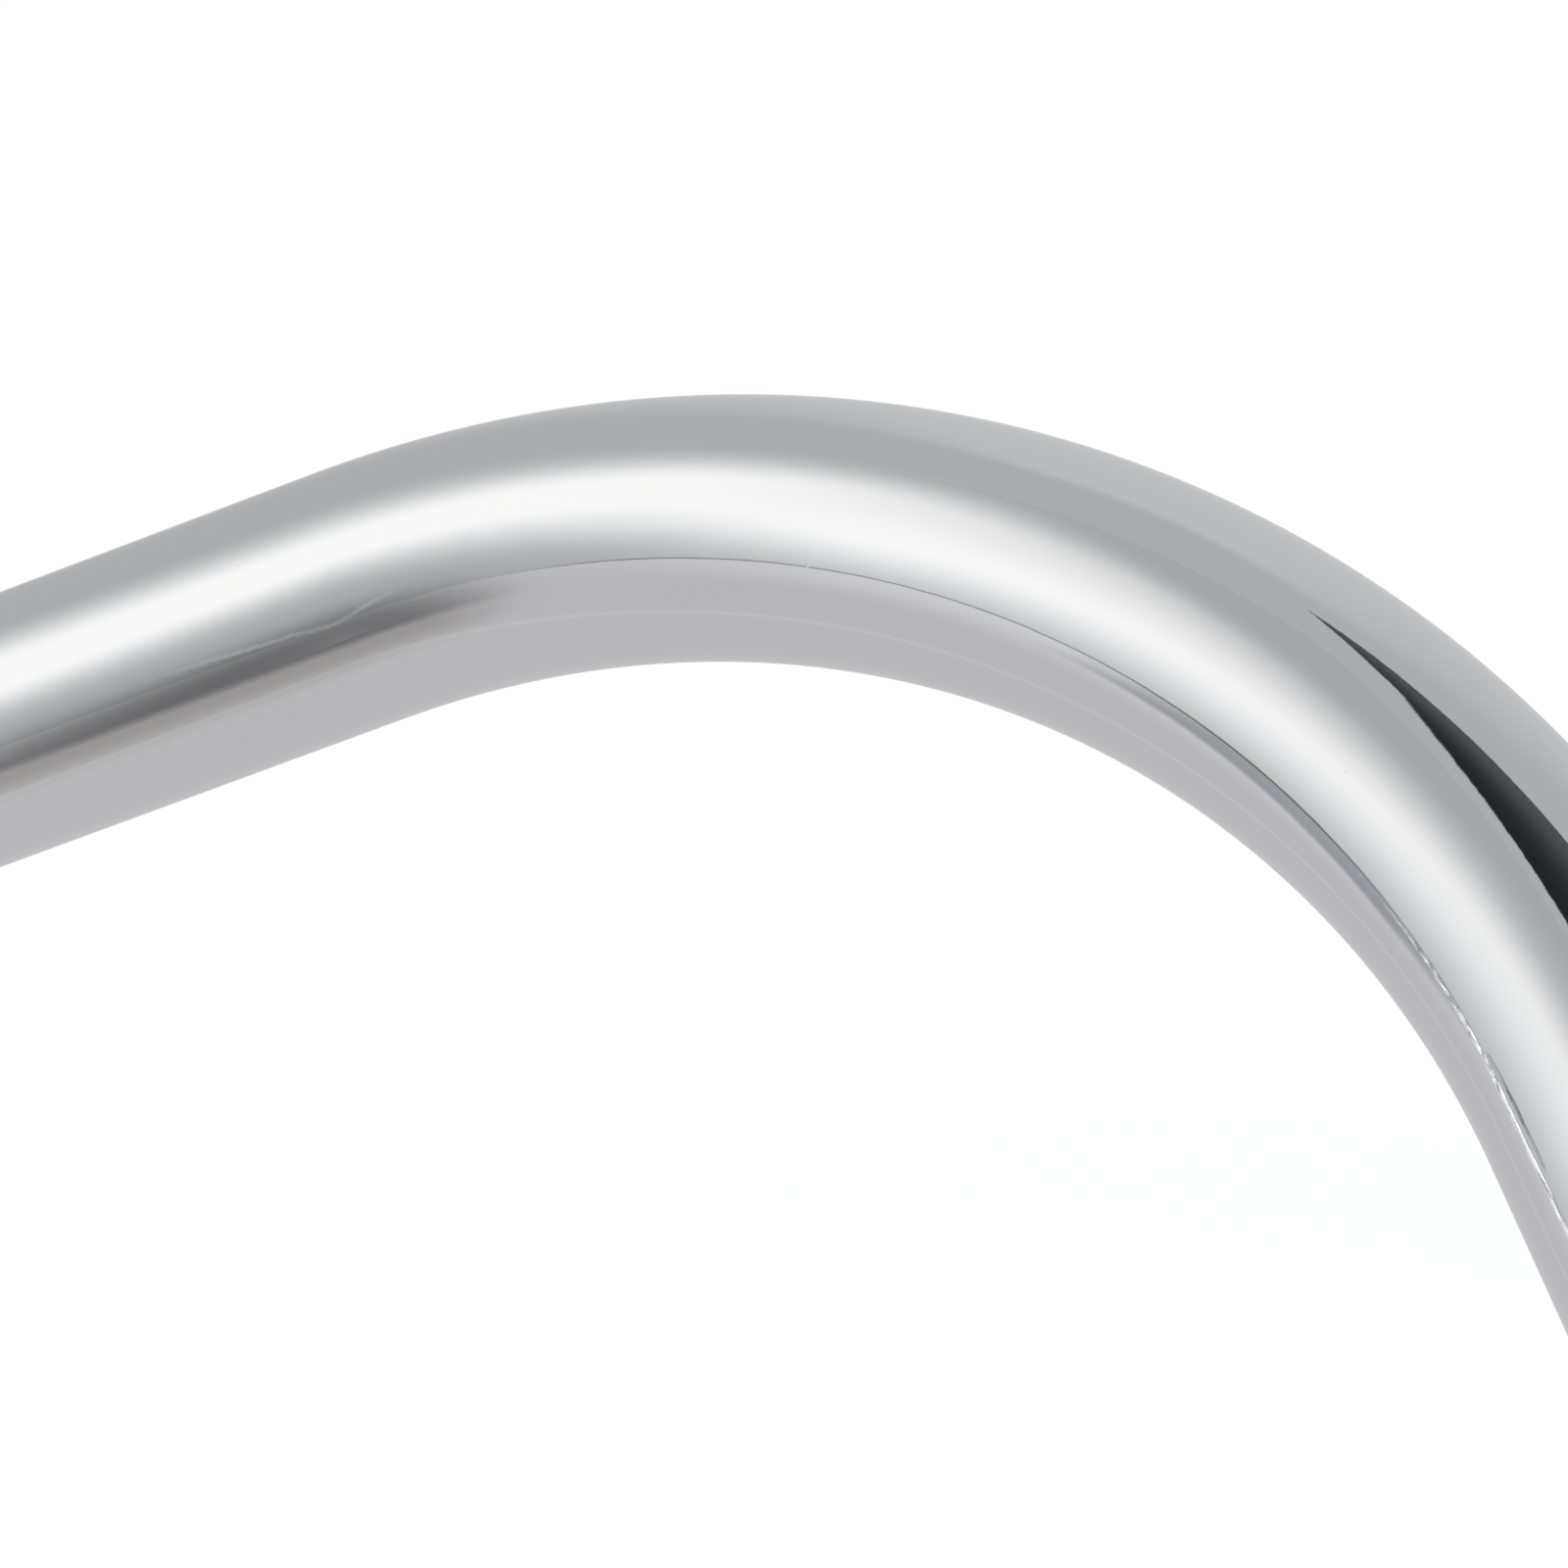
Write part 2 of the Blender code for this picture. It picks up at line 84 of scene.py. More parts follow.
CAP_WASHER_RADIUS = 6.4 * MM
CAP_WASHER_THICKNESS = 2 * MM
SCREW_HOLE_BOTTOM = 31.5 * MM
BLOCK_ROUNDING = 1.4 * MM  # of the edges round its two sides

# riser bolts, which come up through a yoke
YOKE_THICKNESS = 25 * MM
BOLT_RADIUS = 5 * MM
BOLT_PITCH = 1.5 * MM
BOLT_TIP = 20 * MM
BOLT_HOLE_DEPTH = 22 * MM
BOLT_HEAD_FLATS = 16 * MM
BOLT_HEAD_HEIGHT = 6.4 * MM
SHANK_END = -12 * MM  # where the bolt's plain shank gives way to its thread
FLAT_WASHER_RADIUS = 10 * MM
FLAT_WASHER_THICKNESS = 2 * MM
LOCK_WASHER_RADIUS = 8.6 * MM
LOCK_WASHER_THICKNESS = 2.5 * MM
FLAT_WASHER_TOP = -YOKE_THICKNESS - GAP
LOCK_WASHER_TOP = FLAT_WASHER_TOP - FLAT_WASHER_THICKNESS - GAP
LOCK_WASHER_BOTTOM = LOCK_WASHER_TOP - LOCK_WASHER_THICKNESS

# weights, measured outwards from the end of the tube along the grip
SEAL_THICKNESS = 1.5 * MM
WEIGHT_RADIUS = 14 * MM
WEIGHT_START = SEAL_THICKNESS + 2 * GAP
WEIGHT_END = 36 * MM
WEIGHT_NOSE = 5 * MM
SPIGOT_RADIUS = TUBE_BORE - GAP
SPIGOT_END = -14 * MM
END_SCREW_RADIUS = 3 * MM
END_SCREW_TIP = -53 * MM
END_HEAD_RADIUS = 5 * MM
END_HEAD_HEIGHT = 6 * MM
END_SOCKET_FLATS = 5 * MM
END_SOCKET_DEPTH = 3 * MM
END_HEAD_FLUTES = 32
END_HOLE_RADIUS = END_SCREW_RADIUS + GAP
COUNTERBORE_RADIUS = 5.6 * MM
COUNTERBORE_FLOOR = 28 * MM
INNER_WASHER_RADIUS = 8.2 * MM
INNER_WASHER_THICKNESS = 1.6 * MM
INNER_WASHER_TOP = SPIGOT_END - GAP
SLEEVE_TOP = INNER_WASHER_TOP - INNER_WASHER_THICKNESS - GAP
SLEEVE_BOTTOM = SLEEVE_TOP - 22 * MM
SLEEVE_RADIUS = 8.7 * MM
SLEEVE_BORE = 3.9 * MM
CONE_LENGTH = 6 * MM  # tapered mouth that the nut is drawn into
CONE_RADIUS = 7.6 * MM
CONE_CLEARANCE = 0.45 * MM
NUT_RADIUS = 8.4 * MM
NUT_FACE = SLEEVE_BOTTOM - GAP
NUT_END = NUT_FACE - 8.5 * MM

ROUND_SIDES = 96
SMALL_SIDES = 64
ROD_SIDES = 48
FULL_TURN = 2 * math.pi

# ---------------------------------------------------------------- shader maths


class Wire:
    """A socket of a shader, or its value, that can be added, multiplied and so on."""

    def __init__(self, graph, socket):
        self.graph = graph
        self.socket = socket

    def math(self, operation, *others):
        inputs = dict(enumerate((self, *others)))
        return self.graph.node("ShaderNodeMath", inputs, operation=operation)

    def __add__(self, other):
        return self.math("ADD", other)

    def __sub__(self, other):
        return self.math("SUBTRACT", other)

    def __rsub__(self, other):
        return self.graph.node("ShaderNodeMath", {0: other, 1: self}, operation="SUBTRACT")

    def __mul__(self, other):
        return self.math("MULTIPLY", other)

    def __truediv__(self, other):
        return self.math("DIVIDE", other)

    def __pow__(self, other):
        return self.math("POWER", other)

    def __neg__(self):
        return self * -1

    __radd__ = __add__
    __rmul__ = __mul__

    def toward(self, other, share):
        """Goes from this value to another as share goes from 0 to 1."""
        return self + (other - self) * share

    def step(self, low, high):
        """0 below low and 1 above high, with a soft change between them."""
        limits = {"Value": self, "From Min": low, "From Max": high}
        return self.graph.node("ShaderNodeMapRange", limits, interpolation_type="SMOOTHSTEP")

    def band(self, low, full, fade, high):
        """1 from full to fade, with a soft change to 0 at low and at high."""
        return self.step(low, full) * (1 - self.step(fade, high))


class Graph:
    """The nodes of one material or world."""

    def __init__(self, tree):
        self.tree = tree
        tree.nodes.clear()

    def node(self, kind, inputs=None, out=0, **settings):
        """Adds a node, sets it, feeds its sockets and returns one of its outputs."""
        added = self.tree.nodes.new(kind)
        for name, value in settings.items():
            setattr(added, name, value)
        for name, value in (inputs or {}).items():
            if isinstance(value, Wire):
                self.tree.links.new(value.socket, added.inputs[name])
            else:
                added.inputs[name].default_value = value
        return Wire(self, added.outputs[out]) if len(added.outputs) else added

    def blend(self, factor, first, second):
        """A colour between two colours."""
        inputs = {0: factor, 6: first, 7: second}
        return self.node("ShaderNodeMix", inputs, out=2, data_type="RGBA")

    def dot(self, vector, other):
        inputs = {0: vector, 1: other}
        return self.node("ShaderNodeVectorMath", inputs, out="Value", operation="DOT_PRODUCT")

    def noise(self, place, scale, detail):
        inputs = {"Vector": place, "Scale": scale, "Detail": detail}
        return self.node("ShaderNodeTexNoise", inputs)

    def surface(self, color, rough, height, strength, depth, metallic=0):
        """The visible surface, with a bump whose depth is in metres."""
        bump = {"Height": height, "Strength": strength, "Distance": depth}
        skin = {"Base Color": color, "Roughness": rough, "Metallic": metallic,
                "Normal": self.node("ShaderNodeBump", bump)}
        shader = self.node("ShaderNodeBsdfPrincipled", skin)
        self.node("ShaderNodeOutputMaterial", {"Surface": shader})


# ---------------------------------------------------------------- camera

CAMERA_PLACE = Vector((41.7, 179.9, 204.3)) * MM
CAMERA_BEARING = math.radians(129)  # from the camera's right round to +X
CAMERA_DIP = math.radians(10)
CAMERA_LENS = 78.75
RIGHT = Vector((math.cos(CAMERA_BEARING), -math.sin(CAMERA_BEARING), 0))
AWAY = Vector((math.sin(CAMERA_BEARING), math.cos(CAMERA_BEARING), 0))
UP = Vector((0, 0, 1))


def add_camera():
    """Looks at the left upper bend from between the grips, on the rider's side."""
    data = bpy.data.cameras.new("camera")
    data.lens = CAMERA_LENS
    data.sensor_width = 36
    data.clip_start = 0.01
    camera = bpy.data.objects.new("camera", data)
    bpy.context.scene.collection.objects.link(camera)
    forward = AWAY * math.cos(CAMERA_DIP) - UP * math.sin(CAMERA_DIP)
    above = RIGHT.cross(forward)
    turn = Matrix((RIGHT, above, -forward)).transposed()
    camera.matrix_world = Matrix.Translation(CAMERA_PLACE) @ turn.to_4x4()
    bpy.context.scene.camera = camera


# ---------------------------------------------------------------- studio


def polar(azimuth, elevation):
    """Direction at an azimuth clockwise from straight away, and an elevation, in degrees."""
    a = math.radians(azimuth)
    e = math.radians(elevation)
    return (AWAY * math.cos(a) + RIGHT * math.sin(a)) * math.cos(e) + UP * math.sin(e)


def plane_through(first, second):
    """Unit vector square to two directions, on the upper side of the plane through both."""
    normal = first.cross(second).normalized()
    return normal if normal.z > 0 else -normal


MIRROR = 0.80  # how much light chrome gives back
WALL_LEVEL = 0.672
TABLE_LEVEL = 0.72
DEGREES = 180 / math.pi
WHITE = (1, 1, 1, 1)


def as_light(level):
    """Scene-linear light for a display level from 0 to 1, a number or a wire."""
    return ((level + 0.055) / 1.055) ** 2.4


class Studio:
    """What mirror finishes reflect, drawn on the directions of their rays.

    Angles are in degrees: elevation, azimuth clockwise from straight away, and bearing
    clockwise from the rear left. Each method gives a share from 0 to 1, or a display level.
    """

    def __init__(self, g):
        self.g = g
        self.ray = g.node("ShaderNodeTexCoord", out="Generated")
        self.elevation = g.dot(self.ray, UP).math("ARCSINE") * DEGREES
        self.azimuth = self.angle_from(0)
        self.bearing = self.angle_from(-135)
        self.below = -self.over(polar(-125, -20.5), polar(-35, 0))  # above 0 on the table

    def angle_from(self, azimuth):
        """Angle clockwise from a level direction, from -180 to 180."""
        side = self.g.dot(self.ray, polar(azimuth + 90, 0))
        ahead = self.g.dot(self.ray, polar(azimuth, 0))
        return side.math("ARCTAN2", ahead) * DEGREES

    def over(self, first, second):
        """How far a ray is on the upper side of the plane through two directions."""
        return self.g.dot(self.ray, plane_through(first, second))

    def soft_box(self):
        """A soft box at the rear left, whose left edge is sharper than its right."""
        left_edge = (self.bearing + self.elevation * 0.27).step(-25, 0)
        right_low = 1 - self.bearing.step(-7, 105)
        right_high = 1 - self.bearing.step(5, 65)
        right_edge = right_low.toward(right_high, self.elevation.step(15, 50))
        bottom_edge = self.elevation.step(-40, 11)
        top_edge = 1 - (self.elevation - self.bearing.math("MINIMUM", 0) * 0.9).step(43, 71)
        return left_edge * right_edge * bottom_edge * top_edge

    def sweep(self):
        """A paler sweep of wall straight behind the object."""
        return self.azimuth.band(-25, 5, 30, 80) * (1 - self.elevation.step(72, 82))

    def table(self):
        """The table's level, with a sheen under its near edge, a seam and a pale far end."""
        sheen = (1 - self.below.step(0.02, 0.34)) * self.bearing.band(-25, 5, 45, 85)
        seam = 1 - self.over(polar(-125, -65), polar(-60, -38)).math("ABSOLUTE").step(0.0, 0.05)
        far_end = self.elevation.step(-30, -5) * self.azimuth.band(-35, -5, 15, 40)
        return sheen * 0.07 + seam * 0.025 + far_end * 0.025 + TABLE_LEVEL

    def stand(self):
        """A dark stand at the far left, and the shadow at its foot."""
        presence = (1 - self.bearing.step(-35, -19)) * (1 - self.elevation.step(-24, 8))
        foot = self.elevation.step(-40, -31)
        shadow = self.elevation.step(-66, -40) * (1 - foot)
        return presence * foot, presence * shadow

    def lip(self):
        """A thin bright edge over the stand."""
        line = 1 - self.over(polar(-152, 8), polar(-163, -9)).math("ABSOLUTE").step(0.002, 0.014)
        line = line * self.elevation.band(-24, -16, -12, -5)
        return line * self.bearing.band(-45, -35, -16, -12)

    def gap(self):
        """A thin dark gap along the table's edge."""
        return self.below.band(-0.016, -0.008, 0.0, 0.008) * self.bearing.band(-24, -12, 38, 50)

    def card(self):
        """A grey card laid over the edge."""
        return self.below.band(-0.026, -0.008, 0.11, 0.18) * self.bearing.band(18, 34, 53, 65)

    def foil(self):
        """Crumpled foil past the card: above 0 where it is bright and below where it is dark."""
        inputs = {"Vector": self.ray, "Scale": 90, "Detail": 4, "Roughness": 0.7}
        grain = self.g.node("ShaderNodeTexNoise", inputs)
        strip = self.below.band(-0.014, -0.002, 0.025, 0.06) * self.bearing.band(45, 57, 80, 95)
        return strip * (grain - 0.47)

    def room(self):
        """A dark room beyond the ceiling, behind the camera."""
        roof = self.over(polar(118, 83.5), polar(162, 77)).step(-0.004, 0.004)
        slope = self.over(polar(155, 78.3), polar(-165, 58)).step(-0.006, 0.006)
        side_wall = self.over(polar(112, 68.7), polar(106, 83.9)).step(-0.004, 0.004)
        opening = (1 - roof * slope) * side_wall * self.elevation.step(35, 50)
        return opening * (1 - self.bearing.step(-30, -20))


def build_world():
    """Mirror finishes see the studio. The camera sees plain white."""
    world = bpy.data.worlds.new("studio")
    bpy.context.scene.world = world
    world.use_nodes = True
    g = Graph(world.node_tree)
    studio = Studio(g)
    box = studio.soft_box()
    sweep = studio.sweep()
    foot, shadow = studio.stand()
    card = studio.card()
    level = box * 0.30 + sweep * 0.06 + WALL_LEVEL
    level = level.toward(studio.table(), studio.below.step(-0.003, 0.003))
    level = level + studio.lip() * 0.09 - foot * 0.31 - shadow * 0.13
    level = level - studio.gap() * 0.22 - card * 0.185 + studio.foil() * 4.0
    dark = 0.31 - studio.bearing.step(-115, -35) * 0.17
    level = level.toward(dark, studio.room())

    tint = (0.975, 1.0, 1.035, 1)  # the wall's, a little cool
    tint = g.blend(box, tint, (1.006, 0.998, 0.983, 1))
    tint = g.blend(sweep, tint, (0.99, 0.998, 1.027, 1))
    tint = g.blend(studio.below.step(0.0, 0.15), tint, (1.0, 0.99, 1.025, 1))
    tint = g.blend(shadow, tint, (1.03, 0.995, 0.96, 1))
    tint = g.blend(card, tint, (0.97, 0.995, 1.05, 1))
    scaled = {0: tint, "Scale": as_light(level) / MIRROR}
    color = g.node("ShaderNodeVectorMath", scaled, operation="SCALE")
    lit = g.node("ShaderNodeBackground", {"Color": color, "Strength": 1})
    white = g.node("ShaderNodeBackground", {"Color": WHITE, "Strength": 1})
    seen = g.node("ShaderNodeLightPath", out="Is Camera Ray")
    shown = g.node("ShaderNodeMixShader", {0: seen, 1: lit, 2: white})
    g.node("ShaderNodeOutputWorld", {"Surface": shown})


def add_flag():
    """A soft-edged flag close to the bend shades the upper part of its highlight."""
    facing = polar(-151.5, 19.7)
    level_way = UP.cross(facing).normalized()
    upper_way = facing.cross(level_way)
    lean = math.radians(11.5)
    shade_way = level_way * math.cos(lean) + upper_way * math.sin(lean)
    along = facing.cross(shade_way)
    bend = CAMERA_PLACE + AWAY * 0.265 - UP * 0.035
    centre = bend + facing * 0.119
    corners = [(-0.034, -0.16), (0.085, -0.16), (0.085, 0.16), (-0.034, 0.16)]
    shape = bmesh.new()
    shape.faces.new([shape.verts.new((x, y, 0)) for x, y in corners])
    mesh = bpy.data.meshes.new("flag")
    shape.to_mesh(mesh)
    shape.free()
    flag = bpy.data.objects.new("flag", mesh)
    turn = Matrix((shade_way, along, shade_way.cross(along))).transposed()
    flag.matrix_world = Matrix.Translation(centre) @ turn.to_4x4()
    bpy.context.scene.collection.objects.link(flag)
    flag.visible_camera = False
    flag.visible_diffuse = False
    flag.visible_shadow = False
    material, g = new_graph("flag")
    place = g.node("ShaderNodeTexCoord", out="Object")
    across = g.node("ShaderNodeSeparateXYZ", {0: place}, out="X")
    shade = as_light(0.645) / MIRROR
    gloss = g.node("ShaderNodeEmission", {"Color": (shade, shade * 1.01, shade * 1.03, 1)})
    clear = g.node("ShaderNodeBsdfTransparent")
    cover = across.step(-0.032, 0.051) * 0.92
    shown = g.node("ShaderNodeMixShader", {0: cover, 1: clear, 2: gloss})
    g.node("ShaderNodeOutputMaterial", {"Surface": shown})
    mesh.materials.append(material)


FLOOR_HEIGHT = -40 * MM
FLOOR_HALF = 30
FLOOR_LIFT = 0.25  # brings the open floor up to white, so that only shadows show on it
FLOOR_WHITE_FROM, FLOOR_WHITE_BY = 0.55, 0.9  # from here outwards the floor is plain white


def add_floor():
    """A wide pale floor: white where no shadow falls. Mirror finishes see the studio instead."""
    shape = bmesh.new()
    bmesh.ops.create_grid(shape, x_segments=1, y_segments=1, size=FLOOR_HALF)
    bmesh.ops.translate(shape, verts=shape.verts, vec=(0, 0, FLOOR_HEIGHT))
    mesh = bpy.data.meshes.new("floor")
    shape.to_mesh(mesh)
    shape.free()
    floor = bpy.data.objects.new("floor", mesh)
    bpy.context.scene.collection.objects.link(floor)
    floor.visible_glossy = False
    material, g = new_graph("floor")
    place = g.node("ShaderNodeTexCoord", out="Object")
    distance = g.node("ShaderNodeVectorMath", {0: place}, out="Value", operation="LENGTH")
    paint = g.node("ShaderNodeBsdfDiffuse", {"Color": (0.8, 0.8, 0.8, 1)})
    lift = g.node("ShaderNodeEmission", {"Color": WHITE, "Strength": FLOOR_LIFT})
    near = g.node("ShaderNodeAddShader", {0: paint, 1: lift})
    white = g.node("ShaderNodeEmission", {"Color": WHITE, "Strength": 1})
    far = distance.step(FLOOR_WHITE_FROM, FLOOR_WHITE_BY)
    shown = g.node("ShaderNodeMixShader", {0: far, 1: near, 2: white})
    seen = g.node("ShaderNodeLightPath", out="Is Camera Ray")
    surface = g.node("ShaderNodeMixShader", {0: seen, 1: paint, 2: shown})
    g.node("ShaderNodeOutputMaterial", {"Surface": surface})
    mesh.materials.append(material)


def add_lamp(name, place, size, power):
    """A soft square lamp, in watts, that faces the origin and isn't seen in mirror finishes."""
    data = bpy.data.lights.new(name, "AREA")
    data.size = size
    data.energy = power
    lamp = bpy.data.objects.new(name, data)
    lamp.matrix_world = Matrix.LocRotScale(place, place.to_track_quat("Z", "Y"), None)
    lamp.visible_glossy = False
    bpy.context.scene.collection.objects.link(lamp)


# ---------------------------------------------------------------- materials


def new_graph(name):
    """A material and its empty graph."""
    material = bpy.data.materials.new(name)
    material.use_nodes = True
    return material, Graph(material.node_tree)


def chrome_plate():
    """Mirror chrome: a slightly uneven polish, a few fine pits and a thin film in patches."""
    material, g = new_graph("chrome plate")
    place = g.node("ShaderNodeTexCoord", out="Object")
    film = g.noise(place, 45, 4)
    waves = g.noise(place, 260, 2)
    polish = g.noise(place, 1400, 3)
    specks = g.node("ShaderNodeTexVoronoi", {"Vector": place, "Scale": 160})
    pit = 1 - specks.step(0.015, 0.035)
    tone = g.blend(film, (0.795, 0.80, 0.812, 1), (0.805, 0.808, 0.818, 1))
    rough = film.step(0.35, 0.8) * 0.022 + 0.016 + pit * 0.2
    height = waves * 0.6 + polish * 0.10 - pit * 1.5
    g.surface(tone, rough, height, 0.1, 0.1 * MM, metallic=1)
    return material


def zinc_steel():
    """Zinc-plated steel: a soft satin with faint blue and straw clouds and small scratches."""
    material, g = new_graph("zinc plated steel")
    place = g.node("ShaderNodeTexCoord", out="Object")
    cloud = g.noise(place, 170, 5)
    grain = g.noise(place, 2600, 3)
    drawn_out = g.node("ShaderNodeMapping", {"Vector": place, "Scale": (900, 5200, 300)})
    scratch = g.noise(drawn_out, 1, 2).step(0.62, 0.72)
    tone = g.blend(cloud.step(0.3, 0.7), (0.56, 0.58, 0.62, 1), (0.66, 0.65, 0.61, 1))
    tone = g.blend(scratch * 0.4, tone, (0.74, 0.74, 0.73, 1))
    rough = cloud * 0.14 + grain * 0.08 + 0.16
    g.surface(tone, rough, grain * 0.5 - scratch * 0.5, 0.35, 0.03 * MM, metallic=1)
    return material


def black_rubber():
    """Moulded black rubber: a fine grain under a patchy grey bloom."""
    material, g = new_graph("black rubber")
    place = g.node("ShaderNodeTexCoord", out="Object")
    bloom = g.noise(place, 220, 4)
    grain = g.noise(place, 3800, 3)
    tone = g.blend(bloom.step(0.4, 0.8), (0.022, 0.022, 0.024, 1), (0.05, 0.05, 0.052, 1))
    g.surface(tone, bloom * 0.2 + 0.5, grain, 0.5, 0.04 * MM)
    return material


def brass():
    """Turned brass, slightly dull in patches."""
    material, g = new_graph("brass")
    place = g.node("ShaderNodeTexCoord", out="Object")
    cloud = g.noise(place, 240, 5)
    grain = g.noise(place, 3000, 3)
    tone = g.blend(cloud.step(0.35, 0.75), (0.74, 0.53, 0.24, 1), (0.56, 0.38, 0.17, 1))
    rough = cloud * 0.2 + grain * 0.06 + 0.14
    g.surface(tone, rough, grain, 0.3, 0.03 * MM, metallic=1)
    return material


# ---------------------------------------------------------------- mesh helpers


def finish_piece(name, shape, finish, body, nodes, edge=0.0):
    """Makes a piece from a bmesh, in place of CAD nodes, on a body, with its edges broken."""
    material, slot = finish
    mesh = bpy.data.meshes.new(name)
    shape.to_mesh(mesh)
    shape.free()
    mesh.shade_smooth()
    mesh.materials.append(material)
    piece = bpy.data.objects.new(name, mesh)
    bpy.context.scene.collection.objects.link(piece)
    if edge:
        bevel = piece.modifiers.new("broken edges", "BEVEL")
        bevel.width = edge
        bevel.segments = 3
        bevel.limit_method = "ANGLE"
        bevel.angle_limit = math.radians(32)
        flats = piece.modifiers.new("flat faces", "WEIGHTED_NORMAL")
        flats.weight = 80
    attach(piece, body)
    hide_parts(*nodes)
    return piece


def arc(centre, radius, start, end, steps):
    """Points on an arc from one angle to another in degrees."""
    angles = [math.radians(start + (end - start) * i / steps) for i in range(steps + 1)]
    return [(centre[0] + radius * math.cos(a), centre[1] + radius * math.sin(a)) for a in angles]


def chain(shape, points, closed):
    """A line of edges through points."""
    verts = [shape.verts.new(point) for point in points]
    edges = [shape.edges.new(pair) for pair in zip(verts, verts[1:])]
    if closed:
        edges.append(shape.edges.new((verts[-1], verts[0])))
    return verts + edges


def turned(profile, sides=SMALL_SIDES, ring=False, turn=FULL_TURN, rise=0.0):
    """A profile of (radius, height) turned about Z. A ring's profile is closed."""
    shape = bmesh.new()
    line = chain(shape, [(radius, 0, height) for radius, height in profile], ring)
    full = rise == 0.0 and turn == FULL_TURN
    bmesh.ops.spin(shape, geom=line, cent=(0, 0, 0), axis=(0, 0, 1), angle=turn, steps=sides,
                   dvec=(0, 0, rise / sides), use_merge=full)
    bmesh.ops.remove_doubles(shape, verts=shape.verts, dist=0.001 * MM)
    return outward(shape)


def outward(shape):
    """The same closed shape, with its faces pointing outwards."""
    bmesh.ops.recalc_face_normals(shape, faces=shape.faces)
    return shape


def cylinder(radius, low, high, y=0.0, sides=SMALL_SIDES):
    """A round bar along Z."""
    shape = turned([(0, high), (radius, high), (radius, low), (0, low)], sides)
    bmesh.ops.translate(shape, verts=shape.verts, vec=(0, y, 0))
    return shape


def hexagon(across_flats, low, high):
    """A six-sided prism about Z."""
    shape = bmesh.new()
    radius = across_flats / 2 / math.cos(math.pi / 6)
    bmesh.ops.create_cone(shape, cap_ends=True, segments=6, radius1=radius, radius2=radius,
                          depth=high - low, matrix=Matrix.Translation((0, 0, (low + high) / 2)))
    return shape


def loose_object(shape):
    """A short-lived object for a Boolean modifier to work on."""
    mesh = bpy.data.meshes.new("shape")
    shape.to_mesh(mesh)
    shape.free()
    thing = bpy.data.objects.new("shape", mesh)
    bpy.context.scene.collection.objects.link(thing)
    return thing


def joined(shape, *steps):
    """Cuts, adds or intersects other shapes in turn, each step an operation and a shape."""
    things = [loose_object(shape)]
    for operation, other in steps:
        things.append(loose_object(other))
        step = things[0].modifiers.new("step", "BOOLEAN")
        step.operation = operation
        step.object = things[-1]
    bpy.context.view_layer.update()
    seen = things[0].evaluated_get(bpy.context.evaluated_depsgraph_get())
    result = bmesh.new()
    result.from_mesh(seen.to_mesh())
    seen.to_mesh_clear()
    for thing in things:
        mesh = thing.data
        bpy.data.objects.remove(thing)
        bpy.data.meshes.remove(mesh)
    bmesh.ops.remove_doubles(result, verts=result.verts, dist=0.002 * MM)
    return outward(result)


def moved(shape, place):
    """The shape after a move or a turn, turned right side out again."""
    bmesh.ops.transform(shape, verts=shape.verts, matrix=place)
    return outward(shape)


def washer_section(outer, inner, low, high, soft):
    """A washer's section with soft outer edges."""
    upper = arc((outer - soft, high - soft), soft, 90, 0, 4)
    lower = arc((outer - soft, low + soft), soft, 0, -90, 4)
    return [(inner, high)] + upper + lower + [(inner, low)]


# ---------------------------------------------------------------- the tube

TUBE_SIDES = 112
BEND_STEP = math.radians(1.2)
RIM = 0.6 * MM  # a last short ring of faces, so that the shading stays level up to the end
SEAM = 0.01 * MM  # vertices closer than this are one
ALONG = Vector((1, 0, 0))  # the clamped middle's direction
ONTO_X = Matrix.Rotation(math.pi / 2, 4, "Y")  # turns what stands along Z along X


def extrude_loop(shape, edges, move):
    """Extrudes an open loop of edges by a straight move and returns the new loop."""
    made = bmesh.ops.extrude_edge_only(shape, edges=edges)["geom"]
    verts = [e for e in made if isinstance(e, bmesh.types.BMVert)]
    bmesh.ops.translate(shape, verts=verts, vec=move)
    return [e for e in made if isinstance(e, bmesh.types.BMEdge) and e.is_boundary]


def bend_loop(shape, edges, centre, start, end):
    """Spins an open loop round a bend from one direction to another."""
    turn = start.angle(end)
    steps = round(turn / BEND_STEP)
    verts = list({v for e in edges for v in e.verts})
    made = bmesh.ops.spin(shape, geom=edges + verts, cent=centre, axis=start.cross(end),
                          angle=turn, steps=steps, use_duplicate=False)
    return [e for e in made["geom_last"] if isinstance(e, bmesh.types.BMEdge)]


def bend_centre(place, start, end):
    """Centre of a bend that begins at a place and turns between two directions."""
    inward = (end - start * start.dot(end)).normalized()
    return place + inward * BEND_RADIUS


